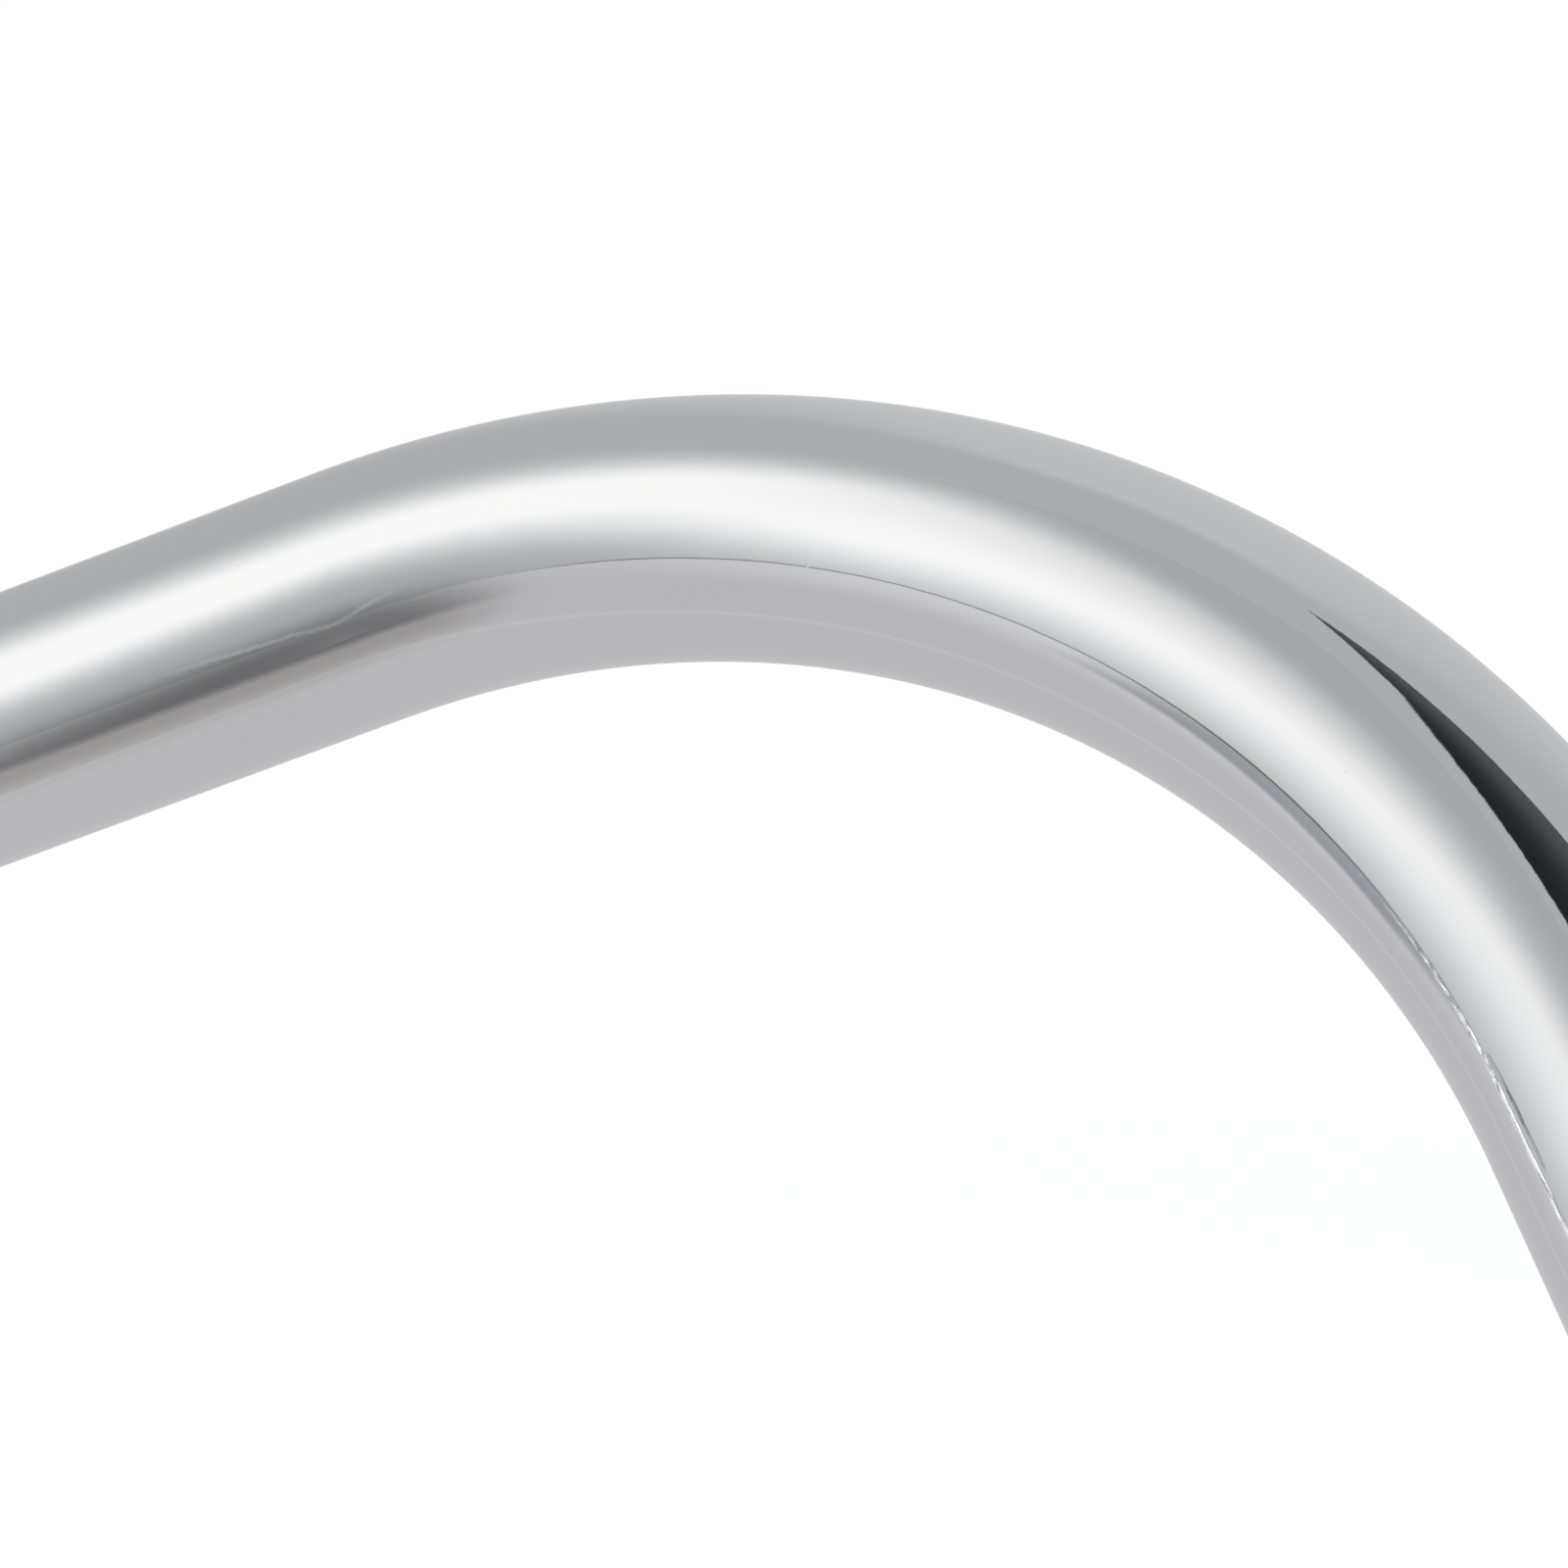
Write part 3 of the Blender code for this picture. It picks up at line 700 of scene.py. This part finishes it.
def handlebar_tube(finish):
    """Half the tube, drawn out and bent as on a bending machine, then mirrored."""
    place = Vector((0, 0, BAR_HEIGHT))
    shape = bmesh.new()
    start = Matrix.Translation(place) @ ONTO_X
    bmesh.ops.create_circle(shape, segments=TUBE_SIDES, radius=TUBE_RADIUS, matrix=start)
    loop = extrude_loop(shape, shape.edges[:], ALONG * CLAMP_HALF)
    place = place + ALONG * CLAMP_HALF
    centre = bend_centre(place, ALONG, LEG)
    loop = bend_loop(shape, loop, centre, ALONG, LEG)
    place = turned_place(place, centre, ALONG, LEG)
    loop = extrude_loop(shape, loop, LEG * LEG_LENGTH)
    place = place + LEG * LEG_LENGTH
    loop = bend_loop(shape, loop, bend_centre(place, LEG, GRIP), LEG, GRIP)
    loop = extrude_loop(shape, loop, GRIP * (GRIP_LENGTH - RIM))
    extrude_loop(shape, loop, GRIP * RIM)
    geometry = shape.verts[:] + shape.edges[:] + shape.faces[:]
    bmesh.ops.mirror(shape, geom=geometry, matrix=Matrix(), merge_dist=SEAM, axis="X")
    bmesh.ops.remove_doubles(shape, verts=shape.verts, dist=SEAM)
    bmesh.ops.recalc_face_normals(shape, faces=shape.faces)
    piece = finish_piece("chromed_tube", shape, finish, "bar", ["handlebar_tube"])
    wall = piece.modifiers.new("wall", "SOLIDIFY")
    wall.thickness = TUBE_WALL
    wall.offset = -1
    return piece


def turned_place(place, centre, start, end):
    """Where a place gets to when the bend turns it from one direction to another."""
    turn = Matrix.Rotation(start.angle(end), 3, start.cross(end))
    return centre + turn @ (place - centre)


# ---------------------------------------------------------------- the risers


def outline_block(outline, rounding):
    """A side view of (y, z) points extruded along X, with the edges of both sides rounded."""
    shape = bmesh.new()
    line = chain(shape, [(-BLOCK_HALF_WIDTH, y, z) for y, z in outline], True)
    edges = [e for e in line if isinstance(e, bmesh.types.BMEdge)]
    bmesh.ops.contextual_create(shape, geom=edges)
    made = bmesh.ops.extrude_face_region(shape, geom=shape.faces[:], use_keep_orig=True)["geom"]
    verts = [v for v in made if isinstance(v, bmesh.types.BMVert)]
    bmesh.ops.translate(shape, verts=verts, vec=(2 * BLOCK_HALF_WIDTH, 0, 0))
    rims = [e for e in shape.edges if abs(e.verts[0].co.x - e.verts[1].co.x) < MM]
    outward(shape)
    bmesh.ops.bevel(shape, geom=rims, offset=rounding, offset_type="OFFSET", segments=5,
                    profile=0.5, affect="EDGES", material=-1, clamp_overlap=True)
    return outward(shape)


def block_outline():
    """Side view of the riser's block, whose lower corners are round."""
    top = BAR_HEIGHT - SPLIT_GAP / 2
    corner_y = BLOCK_HALF_DEPTH - BLOCK_CORNER
    corner_z = BLOCK_BOTTOM + BLOCK_CORNER
    outline = arc((corner_y, corner_z), BLOCK_CORNER, 0, -90, 18)
    outline += arc((-corner_y, corner_z), BLOCK_CORNER, -90, -180, 18)
    return [(BLOCK_HALF_DEPTH, top)] + outline + [(-BLOCK_HALF_DEPTH, top)]


def cap_outline():
    """Side view of the cap: a dome over the tube between two shoulders for the screws."""
    bottom = BAR_HEIGHT + SPLIT_GAP / 2
    edge = 2.5 * MM
    lift = math.degrees(math.asin((SHOULDER - BAR_HEIGHT) / DOME_RADIUS))
    right_edge = arc((BLOCK_HALF_DEPTH - edge, SHOULDER - edge), edge, 0, 90, 8)
    left_edge = arc((edge - BLOCK_HALF_DEPTH, SHOULDER - edge), edge, 90, 180, 8)
    dome = arc((0, BAR_HEIGHT), DOME_RADIUS, lift, 180 - lift, 40)
    return ([(BLOCK_HALF_DEPTH, bottom)] + right_edge + dome + left_edge
            + [(-BLOCK_HALF_DEPTH, bottom)])


def saddle():
    """The tube's seat, a cylinder along X through both halves of the clamp."""
    turn = Matrix.Translation((0, 0, BAR_HEIGHT)) @ ONTO_X
    reach = 2 * BLOCK_HALF_WIDTH
    return moved(cylinder(SADDLE_RADIUS, -reach, reach, sides=128), turn)


def screw_hole(y):
    """What is drilled out for a cap screw."""
    radius = CAP_SCREW_RADIUS + GAP
    return cylinder(radius, SCREW_HOLE_BOTTOM, SHOULDER + 5 * MM, y=y)


def riser_post():
    """The post, which flares in a curve into its round base and into the block."""
    base_flare = arc((POST_RADIUS + 3 * MM, BASE_THICKNESS + FLARE_HEIGHT), 3 * MM, 180, 270, 8)
    base_flare = [(r, BASE_THICKNESS + (z - BASE_THICKNESS - 2 * MM) * FLARE_HEIGHT / (3 * MM))
                  for r, z in base_flare]
    rim_top = arc((BASE_RADIUS - MM, BASE_THICKNESS - MM), MM, 90, 0, 5)
    rim_foot = arc((BASE_RADIUS - 0.8 * MM, 0.8 * MM), 0.8 * MM, 0, -90, 5)
    top_z = BLOCK_BOTTOM - MM
    swell = []
    for i in range(7):
        t = math.pi / 2 * i / 6
        swell.append((POST_TOP_RADIUS - (POST_TOP_RADIUS - POST_RADIUS) * (1 - math.cos(t)),
                      top_z - (FLARE_HEIGHT - MM) * math.sin(t)))
    inside = BLOCK_BOTTOM + 4 * MM
    profile = [(0, inside), (POST_TOP_RADIUS, inside)] + swell + base_flare
    return turned(profile + rim_top + rim_foot + [(0, 0)], ROUND_SIDES)


def riser_body():
    """The post and the saddle's lower half in one piece, with holes for the bolt and screws."""
    hole = cylinder(BOLT_RADIUS + GAP, -MM, BOLT_HOLE_DEPTH)
    block = outline_block(block_outline(), BLOCK_ROUNDING)
    return joined(block, ("UNION", riser_post()), ("DIFFERENCE", saddle()),
                  ("DIFFERENCE", hole), ("DIFFERENCE", screw_hole(CAP_SCREW_Y)),
                  ("DIFFERENCE", screw_hole(-CAP_SCREW_Y)))


def riser_cap():
    """The saddle's upper half, with a flat spot round each screw."""
    cap = outline_block(cap_outline(), BLOCK_ROUNDING)
    steps = [("DIFFERENCE", saddle())]
    for y in (CAP_SCREW_Y, -CAP_SCREW_Y):
        steps.append(("DIFFERENCE", screw_hole(y)))
        face = cylinder(SPOT_FACE_RADIUS, SHOULDER, SHOULDER + 20 * MM, y=y)
        steps.append(("DIFFERENCE", face))
    return joined(cap, *steps)


# ---------------------------------------------------------------- screws, bolts and washers


def socket_screw(radius, head_radius, head_bottom, head_height, tip, socket, depth, flutes):
    """A cap screw along Z with a hexagon socket and a fluted head."""
    edge = 0.5 * MM
    flute_depth = 0.28 * MM
    head_top = head_bottom + head_height
    crown = arc((head_radius - edge, head_top - edge), edge, 90, 0, 4)
    flute_low = head_bottom + 0.9 * MM
    flute_high = head_top - 1.1 * MM
    profile = [(0, head_top)] + crown + [(head_radius, flute_high + 0.3 * MM)]
    profile += [(head_radius, flute_high), (head_radius, flute_low)]
    profile += [(head_radius, flute_low - 0.3 * MM), (head_radius, head_bottom + 0.2 * MM)]
    profile += [(head_radius - 0.2 * MM, head_bottom), (radius + 0.3 * MM, head_bottom)]
    profile += [(radius, head_bottom - 0.3 * MM), (radius, tip + edge), (radius - edge, tip)]
    shape = turned(profile + [(0, tip)], 2 * flutes)
    for vert in shape.verts:
        around = math.atan2(vert.co.y, vert.co.x) / math.pi * flutes
        low = flute_low - 0.01 * MM < vert.co.z < flute_high + 0.01 * MM
        if low and vert.co.xy.length > head_radius - 0.1 * MM and round(around) % 2:
            vert.co.xy *= 1 - flute_depth / head_radius
    recess = hexagon(socket, head_top - depth, head_top + depth)
    return joined(shape, ("DIFFERENCE", recess))


def threaded_rod(radius, pitch, low, high):
    """A thread: a zigzag edge that climbs by one pitch in a turn, cut off square at both ends."""
    depth = 0.58 * pitch
    flat = 0.08 * pitch
    count = round((high - low) / pitch) + 2
    profile = []
    for i in range(count):
        foot = low + (i - 1.5) * pitch
        profile += [(radius - depth, foot - flat), (radius - depth, foot + flat)]
        profile += [(radius, foot + pitch / 2 - flat), (radius, foot + pitch / 2 + flat)]
    shape = turned(profile, 36, rise=pitch)
    for height, way in ((low, -1), (high, 1)):
        everything = shape.verts[:] + shape.edges[:] + shape.faces[:]
        sliced = bmesh.ops.bisect_plane(shape, geom=everything, plane_co=(0, 0, height),
                                        plane_no=(0, 0, way), clear_outer=True)["geom_cut"]
        rim = [e for e in sliced if isinstance(e, bmesh.types.BMEdge)]
        bmesh.ops.contextual_create(shape, geom=rim)
    return outward(shape)


def riser_bolt():
    """A hexagon bolt under the yoke, threaded nearly to its head."""
    top = LOCK_WASHER_BOTTOM - GAP
    bottom = top - BOLT_HEAD_HEIGHT
    corner = BOLT_HEAD_FLATS / 2 / math.cos(math.pi / 6)
    flank = BOLT_HEAD_FLATS / 2
    lathe = [(0, top), (flank * 0.95, top), (flank * 0.95, top - 0.3 * MM)]
    lathe += [(corner * 1.01, top - 0.6 * MM), (corner * 1.01, bottom + 1.3 * MM)]
    lathe += [(flank * 0.96, bottom), (0, bottom)]
    head = joined(hexagon(BOLT_HEAD_FLATS, bottom, top), ("INTERSECT", turned(lathe, 96)))
    shank = turned([(0, SHANK_END), (BOLT_RADIUS - 0.5 * MM, SHANK_END),
                    (BOLT_RADIUS, SHANK_END - 0.5 * MM), (BOLT_RADIUS, bottom + 2 * MM),
                    (0, bottom + 2 * MM)], ROD_SIDES)
    thread = threaded_rod(BOLT_RADIUS, BOLT_PITCH, SHANK_END - MM, BOLT_TIP)
    point = turned([(0, BOLT_TIP), (BOLT_RADIUS - 1.1 * MM, BOLT_TIP),
                    (BOLT_RADIUS + 0.2 * MM, BOLT_TIP - 1.3 * MM),
                    (BOLT_RADIUS + 0.2 * MM, SHANK_END - 2 * MM),
                    (0, SHANK_END - 2 * MM)], ROD_SIDES)
    thread = joined(thread, ("INTERSECT", point))
    return joined(shank, ("UNION", thread), ("UNION", head))


def spring_washer(outer, inner, low, high):
    """A split ring whose two cut ends stand slightly apart."""
    lift = 0.25 * MM
    slot = 0.17  # the angle between the two ends
    section = washer_section(outer, inner, low, high - lift, 0.15 * MM)
    shape = turned(section, 60, ring=True, turn=FULL_TURN - slot, rise=lift)
    ends = [e for e in shape.edges if e.is_boundary]
    bmesh.ops.holes_fill(shape, edges=ends, sides=0)
    return moved(shape, Matrix.Rotation(slot / 2, 4, "Z"))


def flat_washer(outer, inner, low, high):
    """A plain washer, stamped and tumbled."""
    return turned(washer_section(outer, inner, low, high, 0.3 * MM), ROUND_SIDES, ring=True)


def add_riser(side, x, chrome, steel):
    """One riser: its body and cap, and the screws, bolt and washers that hold them."""
    across = Matrix.Translation((x, 0, 0))
    body = moved(riser_body(), across)
    finish_piece(f"chromed_riser_{side}", body, chrome, "clamps", [f"{side}_riser_body"], 0.35 * MM)
    cap = moved(riser_cap(), across)
    finish_piece(f"chromed_cap_{side}", cap, chrome, "clamps", [f"{side}_riser_cap"], 0.35 * MM)
    washer_low = SHOULDER + GAP
    washer_high = washer_low + CAP_WASHER_THICKNESS
    for place, y in (("front", -CAP_SCREW_Y), ("rear", CAP_SCREW_Y)):
        spot = Matrix.Translation((x, y, 0))
        ring = spring_washer(CAP_WASHER_RADIUS, CAP_SCREW_RADIUS + GAP, washer_low, washer_high)
        finish_piece(f"spring_washer_{side}_{place}", moved(ring, spot), steel, "clamps",
                     [f"{side}_cap_washer_{place}"], 0.1 * MM)
        screw = socket_screw(CAP_SCREW_RADIUS, CAP_HEAD_RADIUS, washer_high + GAP,
                             CAP_HEAD_HEIGHT, CAP_SCREW_TIP, CAP_SOCKET_FLATS,
                             CAP_SOCKET_DEPTH, CAP_HEAD_FLUTES)
        finish_piece(f"socket_screw_{side}_{place}", moved(screw, spot), steel, "clamps",
                     [f"{side}_cap_screw_{place}"], 0.12 * MM)
    bolt_hole = BOLT_RADIUS + GAP
    flat_bottom = FLAT_WASHER_TOP - FLAT_WASHER_THICKNESS
    flat = flat_washer(FLAT_WASHER_RADIUS, bolt_hole, flat_bottom, FLAT_WASHER_TOP)
    finish_piece(f"flat_washer_{side}", moved(flat, across), steel, "clamps",
                 [f"{side}_riser_washer"], 0.15 * MM)
    lock = spring_washer(LOCK_WASHER_RADIUS, bolt_hole, LOCK_WASHER_BOTTOM, LOCK_WASHER_TOP)
    finish_piece(f"bolt_spring_washer_{side}", moved(lock, across), steel, "clamps",
                 [f"{side}_riser_lock_washer"], 0.1 * MM)
    finish_piece(f"hexagon_bolt_{side}", moved(riser_bolt(), across), steel, "clamps",
                 [f"{side}_riser_bolt"], 0.15 * MM)


# ---------------------------------------------------------------- the weight in each end


def end_weight():
    """The chromed weight: a cove up from the tube's size, two fine grooves and a round nose."""
    nose = arc((WEIGHT_RADIUS - WEIGHT_NOSE, WEIGHT_END - WEIGHT_NOSE), WEIGHT_NOSE, 90, 0, 14)
    neck = arc((WEIGHT_RADIUS, WEIGHT_START), WEIGHT_RADIUS - TUBE_RADIUS, 90, 180, 12)
    grooves = []
    for middle in (29 * MM, 27 * MM):
        grooves += arc((WEIGHT_RADIUS, middle), 0.35 * MM, 90, 270, 6)
    mouth = arc((COUNTERBORE_RADIUS + 0.5 * MM, WEIGHT_END - 0.5 * MM), 0.5 * MM, 180, 90, 5)
    profile = mouth + nose + grooves + neck
    profile += [(SPIGOT_RADIUS, WEIGHT_START), (SPIGOT_RADIUS, SPIGOT_END + MM)]
    profile += [(SPIGOT_RADIUS - MM, SPIGOT_END), (END_HOLE_RADIUS, SPIGOT_END)]
    profile += [(END_HOLE_RADIUS, COUNTERBORE_FLOOR), (COUNTERBORE_RADIUS, COUNTERBORE_FLOOR)]
    return turned(profile, ROUND_SIDES, ring=True)


def plug_sleeve():
    """The rubber sleeve that grips the bore, with shallow ribs round it."""
    profile = [(SLEEVE_RADIUS - MM, SLEEVE_TOP), (SLEEVE_RADIUS, SLEEVE_TOP - MM)]
    for i in range(4):
        profile += arc((SLEEVE_RADIUS, SLEEVE_TOP - (4.5 + 4 * i) * MM), 0.5 * MM, 90, 270, 5)
    profile += [(SLEEVE_RADIUS, SLEEVE_BOTTOM), (CONE_RADIUS, SLEEVE_BOTTOM)]
    profile += [(SLEEVE_BORE, SLEEVE_BOTTOM + CONE_LENGTH), (SLEEVE_BORE, SLEEVE_TOP)]
    return turned(profile, SMALL_SIDES, ring=True)


def wedge_nut():
    """The brass nut, whose cone spreads the sleeve."""
    slope = (CONE_RADIUS - SLEEVE_BORE) / CONE_LENGTH
    tip = SLEEVE_BOTTOM + CONE_LENGTH - MM
    profile = [(END_HOLE_RADIUS, tip), (SLEEVE_BORE + slope * MM - CONE_CLEARANCE, tip)]
    profile += [(CONE_RADIUS + slope * GAP - CONE_CLEARANCE, NUT_FACE), (NUT_RADIUS, NUT_FACE)]
    profile += [(NUT_RADIUS, NUT_END + MM), (NUT_RADIUS - MM, NUT_END)]
    return turned(profile + [(END_HOLE_RADIUS, NUT_END)], SMALL_SIDES, ring=True)


def tube_end():
    """Where the +X half's centre line ends."""
    place = Vector((CLAMP_HALF, 0, BAR_HEIGHT))
    place = turned_place(place, bend_centre(place, ALONG, LEG), ALONG, LEG)
    place = place + LEG * LEG_LENGTH
    place = turned_place(place, bend_centre(place, LEG, GRIP), LEG, GRIP)
    return place + GRIP * GRIP_LENGTH


def add_end_hardware(side, sign, chrome, steel, rubber, brass):
    """The weight, and the expanding plug that holds it, along the axis of one tube end."""
    end = tube_end()
    end.x *= sign
    way = Vector((GRIP.x * sign, GRIP.y, GRIP.z))
    turn = Vector((0, 0, 1)).rotation_difference(way)
    axis = Matrix.LocRotScale(end, turn, None)
    seal = washer_section(TUBE_RADIUS, TUBE_BORE, GAP, WEIGHT_START - GAP, 0.35 * MM)
    inner = washer_section(INNER_WASHER_RADIUS, END_HOLE_RADIUS,
                           INNER_WASHER_TOP - INNER_WASHER_THICKNESS, INNER_WASHER_TOP, 0.2 * MM)
    screw = socket_screw(END_SCREW_RADIUS, END_HEAD_RADIUS, COUNTERBORE_FLOOR + GAP,
                         END_HEAD_HEIGHT, END_SCREW_TIP, END_SOCKET_FLATS, END_SOCKET_DEPTH,
                         END_HEAD_FLUTES)
    pieces = [
        ("chromed_weight", end_weight(), chrome, "bar", "end_weight", 0.2),
        ("rubber_seal", turned(seal, ROUND_SIDES, ring=True), rubber, "bar", "end_seal", 0.1),
        ("inner_washer", turned(inner, ring=True), steel, "bar", "plug_washer", 0.1),
        ("ribbed_sleeve", plug_sleeve(), rubber, "bar", "plug_sleeve", 0.1),
        ("brass_nut", wedge_nut(), brass, f"{side}_wedge_nut", "wedge_nut", 0.15),
        ("end_socket_screw", screw, steel, f"{side}_end_screw", "end_screw", 0.1),
    ]
    for name, shape, finish, body, node, edge in pieces:
        shape = moved(shape, axis)
        finish_piece(f"{name}_{side}", shape, finish, body, [f"{side}_{node}"], edge * MM)


# ---------------------------------------------------------------- making it

add_camera()
build_world()
add_flag()
add_floor()
add_lamp("overhead lamp", Vector((0.2, 0.3, 2.2)), 1.8, 26)
add_lamp("rear lamp", Vector((-0.9, 1.6, 0.9)), 1.2, 7)
CHROME = (chrome_plate(), "chrome_plate")
STEEL = (zinc_steel(), "zinc_steel")
RUBBER = (black_rubber(), "black_rubber")
BRASS = (brass(), "brass")
handlebar_tube(CHROME)
for side, sign in (("left", 1), ("right", -1)):
    add_riser(side, sign * RISER_X, CHROME, STEEL)
    add_end_hardware(side, sign, CHROME, STEEL, RUBBER, BRASS)

bpy.context.scene.view_settings.view_transform = "Standard"
